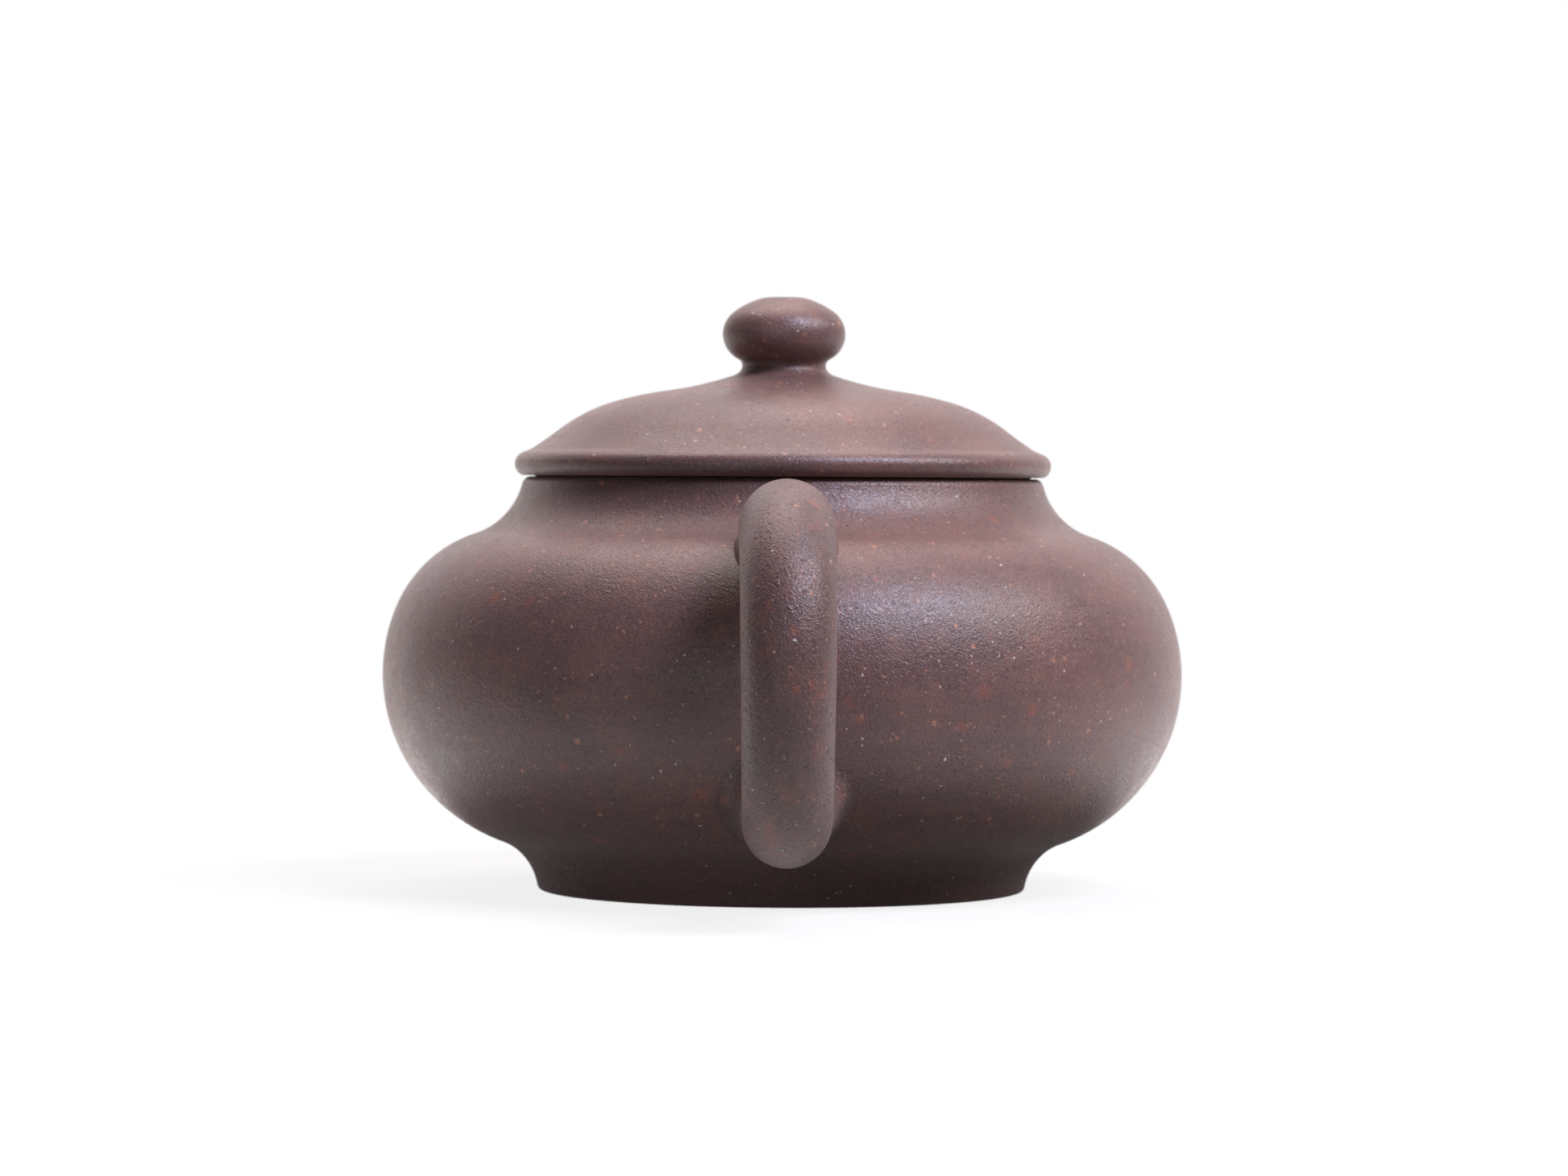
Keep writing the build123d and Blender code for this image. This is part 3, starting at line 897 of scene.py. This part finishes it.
def clay(name, shift, redness, sandiness, grittiness, brightness, streak):
    """Unglazed purple-brown clay: mottled, with red, orange, pale and dark grains, satin and finely grained.
    shift moves the patterns, so that no two pieces match. redness is the strength of the red patches,
    sandiness the relief of the fine sand and grittiness the height of the grit in millimetres. streak is the
    stretch of the burnishing marks in x, y and z, as frequencies per millimetre."""
    material = bpy.data.materials.new(name)
    material.use_nodes = True
    tree = material.node_tree
    tree.nodes.clear()
    in_millimetres = stretched(tree, node(tree, "TexCoord").outputs["Object"], (1 / MM,) * 3)
    place = moved(tree, in_millimetres, (shift, -shift, shift * 0.6))
    crumble = node(tree, "TexNoise", {"Vector": place, "Scale": CRUMBLE, "Detail": 2.0})
    ragged = moved(tree, place, stretched(tree, crumble.outputs["Color"], (CRUMBLE_REACH,) * 3))

    clouds = noise(tree, place, **CLOUDS)
    patches = noise(tree, place, **PATCHES)
    swell = noise(tree, place, **SWELL)
    sand = noise(tree, ragged, **SAND)
    streaks = noise(tree, stretched(tree, place, streak), **STREAKS)
    cells = node(tree, "TexVoronoi", {"Vector": ragged, "Scale": GRAIN_CELLS})
    cell_lot = node(tree, "SeparateColor", {0: cells.outputs["Color"]})
    grit = specks(tree, ragged, **GRIT)

    colour = mixed(tree, ramp(tree, clouds, *WARM_CLOUDS), DARK_CLAY, WARM_CLAY)
    colour = mixed(tree, ramp(tree, patches, *RED_PATCHES, 0.0, redness), colour, RED_CLAY)
    colour = mixed(tree, ramp(tree, patches, *BURNT_PATCHES, BURNT_STRENGTH, 0.0), colour, BURNT_CLAY)
    tone = total(
        tree,
        ramp(tree, sand, *SPREAD, (1 - SAND_TONE) * brightness, (1 + SAND_TONE) * brightness, smooth=False),
        ramp(tree, streaks, *SPREAD, -STREAK_TONE, STREAK_TONE),
        either_side(tree, cell_lot.outputs[0], CELL_TONE))
    colour = node(tree, "VectorMath", {0: colour, "Scale": tone}, operation="SCALE").outputs[0]
    masks = {}
    for kind, (scatter, grain_colour, strength) in GRAINS.items():
        masks[kind] = specks(tree, ragged, **scatter)
        colour = mixed(tree, maths(tree, "MULTIPLY", masks[kind], strength), colour, grain_colour)

    rough = total(
        tree,
        ramp(tree, patches, *SPREAD, *ROUGHNESS),
        either_side(tree, cell_lot.outputs[1], CELL_ROUGHNESS),
        maths(tree, "MULTIPLY", masks["pit"], PIT_ROUGHNESS))
    relief = [
        (sand, SAND_HEIGHT * sandiness),
        (cells.outputs["Distance"], -CELL_HEIGHT * sandiness),
        (swell, SWELL_HEIGHT),
        (grit, grittiness),
        (streaks, STREAK_HEIGHT),
        (masks["pale"], PALE_HEIGHT),
        (masks["pit"], -PIT_DEPTH),
    ]
    height = total(tree, *(maths(tree, "MULTIPLY", pattern, amount) for pattern, amount in relief))
    bump = node(tree, "Bump", {"Height": height, "Distance": MM, "Strength": 1.0})
    surface = node(tree, "BsdfPrincipled", {
        "Base Color": colour, "Roughness": rough, "IOR": 1.5, "Normal": bump.outputs[0],
        "Sheen Weight": 0.11, "Sheen Roughness": 0.5, "Sheen Tint": SHEEN,
    })
    output = node(tree, "OutputMaterial")
    tree.links.new(surface.outputs[0], output.inputs[0])
    return material


AROUND = (0.10, 0.10, 0.9)
ALONG = (0.5, 0.9, 0.12)
LOOKS = {
    "pot_clay": dict(shift=0.0, redness=0.30, sandiness=0.8, grittiness=0.03, brightness=1.0, streak=AROUND),
    "lid_clay": dict(shift=140.0, redness=0.28, sandiness=0.6, grittiness=0.015, brightness=0.97,
                     streak=AROUND),
    "handle_clay": dict(shift=215.0, redness=0.60, sandiness=1.15, grittiness=0.08, brightness=0.85,
                        streak=ALONG),
    "spout_clay": dict(shift=390.0, redness=0.35, sandiness=1.0, grittiness=0.02, brightness=1.0,
                       streak=ALONG),
    "slip_clay": dict(shift=520.0, redness=0.20, sandiness=1.2, grittiness=0.02, brightness=1.0,
                      streak=AROUND),
    "knob_clay": dict(shift=650.0, redness=0.45, sandiness=0.75, grittiness=0.01, brightness=1.06,
                      streak=AROUND),
}
CLAYS = {name: clay(name, **look) for name, look in LOOKS.items()}


# ---------------------------------------------------------------- the pieces

slots = {part["node"]: part["material_slot"] for part in frame["record"]["subparts"]}
body_of = {name: body for body, names in frame["record"]["behaviour"]["bodies"].items() for name in names}
round_pieces = {
    "foot_ring": foot_ring(),
    "base_slab": base_slab(),
    "shoulder_slab": wall_section(shoulder),
    "neck_ring": neck_ring(),
    "mouth_lip": mouth_lip(),
    "lid_plate": lid_plate(),
    "lid_dome": lid_dome(),
    "lid_flange": with_rounds(
        ring_section(PLATE_BORE_R, FLANGE_OUTER_R, SEAT_Z - FLANGE_DEPTH, SEAT_Z - SLIP_THICKNESS),
        {2: EDGE_ROUND, 3: EDGE_ROUND}),
    "lid_luting_slip": ring_section(
        PLATE_BORE_R, FLANGE_OUTER_R, SEAT_Z - SLIP_THICKNESS + SLIP_GAP, SEAT_Z - SLIP_GAP),
    "knob": knob(),
}
shapes = {name: strip_faces(*revolved(section)) for name, section in round_pieces.items()}
shapes["handle"] = strip_faces(*handle(), closed=False)
shapes["spout"] = strip_faces(*spout())
shapes["body_wall"] = body_wall()
for name, (points, faces, normals) in shapes.items():
    material = CLAYS["knob_clay" if name == "knob" else slots[name]]
    make_piece(name, points, faces, normals, material, body_of[name])

strainer = frame["nodes"]["strainer_dome"]
for material_slot in strainer.material_slots:
    material_slot.material = CLAYS["pot_clay"]


# ---------------------------------------------------------------- floor, light and camera

TARGET = Vector((0, 0, 0.035))
WHITE = (1, 1, 1, 1)

# The floor, in metres from the pot's middle.
FLOOR_REACH = 4.0
FLOOR_SIDES = 96
FLOOR_SEEN = (0.85, 0.85, 0.87, 1.0)
FLOOR_FADE = (0.06, 0.22)  # where the shadow that the camera sees fades out
FLOOR_GLOW = 0.85  # how much the shadow is washed out at its darkest
# Painted light: what the pot sees of the floor is a glowing sheet, not a surface lit by the lamps.
FLOOR_DEPTH = (-0.08, 0.06)  # where its painted light rises, from the handle's side to the spout's side
FLOOR_PAINTED_LIGHT = (0.09, 1.20)
# colours of the floor's painted light, on the handle's side and on the spout's side
FLOOR_NEAR_TINT = (0.95, 0.99, 1.06)
FLOOR_FAR_TINT = (1.0, 0.92, 0.91)
FLOOR_PAINTED_RING = (0.09, 0.18)  # where the painted extra light close by fades out
FLOOR_PAINTED_RING_LIGHT = 0.66
FLOOR_PAINTED_SHADOW_EDGE = (0.045, 0.07)  # where the painted shadow under the foot ends
# painted shadow: how much of the floor's glow is left under the foot
FLOOR_PAINTED_SHADOW = 0.09

# The room. A panel's edge is between two cosines of the angle from its middle.
ROOM = 0.01
PANELS = [((1, 0, 0.15), 1.00), ((0, 1, 0.1), 0.04), ((0, -1, 0.1), 0.04)]
PANEL_EDGE = (0.35, 0.85)
PANEL_TINT = (1.0, 0.92, 0.91, 1.0)

# Lamps: direction from the pot, width and height in metres, watts and colour.
LAMP_DISTANCE = 0.9
LAMPS = {
    "key": ((-0.20, -0.745, 0.635), (0.44, 0.34), 4.5, (1.0, 0.95, 0.95)),
    "glint": ((-0.49, -0.42, 0.77), (0.36, 0.30), 7.4, (0.72, 0.77, 1.02)),
    "top": ((0.25, 0.08, 0.95), (0.80, 0.80), 6.4, (1.0, 0.86, 0.81)),
    "front": ((-0.94, 0.30, 0.12), (0.30, 0.30), 0.62, (0.84, 0.93, 1.0)),
}

# The camera looks from the handle's side, level with the mouth. Angles are in degrees.
EYE_DISTANCE = 0.666
EYE_HEIGHT = 0.0516
EYE_SWING = 0.55
EYE_PITCH = -1.19
EYE_YAW = -0.015
EYE_ROLL = 0.34
LENS = 122.0
SENSOR = 36.0
CLIP = (0.05, 20.0)
FOCUS = (-0.066, 0, 0.03)
APERTURE = 48.0


def floor():
    """Large pale disc. The camera sees it white, with a faint shadow at the foot. The pot sees it glow with
    painted light: bright behind, dim in front, a little brighter close by, and with a painted shadow under
    the foot."""
    mesh = bpy.data.meshes.new("floor")
    angle = 2 * pi * np.arange(FLOOR_SIDES) / FLOOR_SIDES
    rim = np.column_stack([FLOOR_REACH * np.cos(angle), FLOOR_REACH * np.sin(angle), 0 * angle])
    mesh.from_pydata(rim.tolist(), [], [list(range(FLOOR_SIDES))])
    material = bpy.data.materials.new("pale_floor")
    material.use_nodes = True
    tree = material.node_tree
    tree.nodes.clear()
    place = node(tree, "TexCoord").outputs["Object"]
    depth = node(tree, "SeparateXYZ", {0: place}).outputs[0]
    from_pot = node(tree, "VectorMath", {0: place}, operation="LENGTH").outputs["Value"]
    pale = node(tree, "BsdfDiffuse", {"Color": FLOOR_SEEN})
    white = node(tree, "Emission", {"Color": WHITE, "Strength": 1.0})
    shown = node(tree, "MixShader", {0: ramp(tree, from_pot, *FLOOR_FADE, FLOOR_GLOW, 1.0),
                                     1: pale.outputs[0], 2: white.outputs[0]})
    # painted light: the glow that the pot sees, brighter behind and close by
    lit = total(tree, ramp(tree, depth, *FLOOR_DEPTH, *FLOOR_PAINTED_LIGHT),
                ramp(tree, from_pot, *FLOOR_PAINTED_RING, FLOOR_PAINTED_RING_LIGHT, 0.0))
    # painted shadow under the foot
    lit = maths(tree, "MULTIPLY", lit, ramp(tree, from_pot, *FLOOR_PAINTED_SHADOW_EDGE, FLOOR_PAINTED_SHADOW, 1.0))
    tint = mixed(tree, ramp(tree, depth, *FLOOR_DEPTH), FLOOR_NEAR_TINT, FLOOR_FAR_TINT)
    # the floor glows with this painted light for the pot, though it is no lamp
    felt = node(tree, "Emission", {"Color": tint, "Strength": lit})
    seen = node(tree, "LightPath").outputs["Is Camera Ray"]
    mix = node(tree, "MixShader", {0: seen, 1: felt.outputs[0], 2: shown.outputs[0]})
    output = node(tree, "OutputMaterial")
    tree.links.new(mix.outputs[0], output.inputs[0])
    mesh.materials.append(material)
    made = bpy.data.objects.new("floor", mesh)
    bpy.context.scene.collection.objects.link(made)


def softbox(name, towards, size, power, colour):
    """Soft rectangular lamp in a direction from the pot, facing it."""
    light = bpy.data.lights.new(name, "AREA")
    light.shape = "RECTANGLE"
    light.size, light.size_y = size
    light.energy = power
    light.color = colour
    lamp = bpy.data.objects.new(name, light)
    away = Vector(towards).normalized()
    lamp.location = TARGET + away * LAMP_DISTANCE
    lamp.rotation_euler = away.to_track_quat("Z", "Y").to_euler()
    bpy.context.scene.collection.objects.link(lamp)
    return lamp


def surroundings():
    """White room as the camera sees it. The pot sees a pale panel behind it and faint ones at its sides."""
    world = bpy.data.worlds.new("studio")
    bpy.context.scene.world = world
    world.use_nodes = True
    tree = world.node_tree
    tree.nodes.clear()
    way = node(tree, "TexCoord").outputs["Generated"]
    bright = ROOM
    for towards, strength in PANELS:
        facing = node(tree, "VectorMath", {0: way, 1: Vector(towards).normalized()}, operation="DOT_PRODUCT")
        bright = maths(tree, "ADD", bright, ramp(tree, facing.outputs["Value"], *PANEL_EDGE, 0.0, strength))
    seen = node(tree, "LightPath").outputs["Is Camera Ray"]
    shown = node(tree, "Background", {"Color": WHITE, "Strength": 1.0})
    felt = node(tree, "Background", {"Color": PANEL_TINT, "Strength": bright})
    mix = node(tree, "MixShader", {0: seen, 1: felt.outputs[0], 2: shown.outputs[0]})
    output = node(tree, "OutputWorld")
    tree.links.new(mix.outputs[0], output.inputs[0])


def camera():
    """Long lens that looks at the pot from the handle's side, with the handle sharp."""
    scene = bpy.context.scene
    scene.view_settings.view_transform = "Standard"
    focus = bpy.data.objects.new("focus", None)
    focus.location = FOCUS
    data = bpy.data.cameras.new("camera")
    data.lens = LENS
    data.sensor_width = SENSOR
    data.clip_start, data.clip_end = CLIP
    data.dof.use_dof = True
    data.dof.focus_object = focus
    data.dof.aperture_fstop = APERTURE
    eye = bpy.data.objects.new("camera", data)
    swing = radians(EYE_SWING)
    eye.location = (-EYE_DISTANCE * cos(swing), EYE_DISTANCE * sin(swing), EYE_HEIGHT)
    facing = Matrix.Rotation(-pi / 2 - swing + radians(EYE_YAW), 4, "Z")
    tilt = Matrix.Rotation(pi / 2 + radians(EYE_PITCH), 4, "X")
    roll = Matrix.Rotation(radians(EYE_ROLL), 4, "Z")
    eye.rotation_mode = "QUATERNION"
    eye.rotation_quaternion = (facing @ tilt @ roll).to_quaternion()
    for item in (focus, eye):
        scene.collection.objects.link(item)
    scene.camera = eye


surroundings()
floor()
lamps = {name: softbox(name, *setting) for name, setting in LAMPS.items()}
lamps["glint"].data.diffuse_factor = 0.0  # it shows only as a gleam
camera()
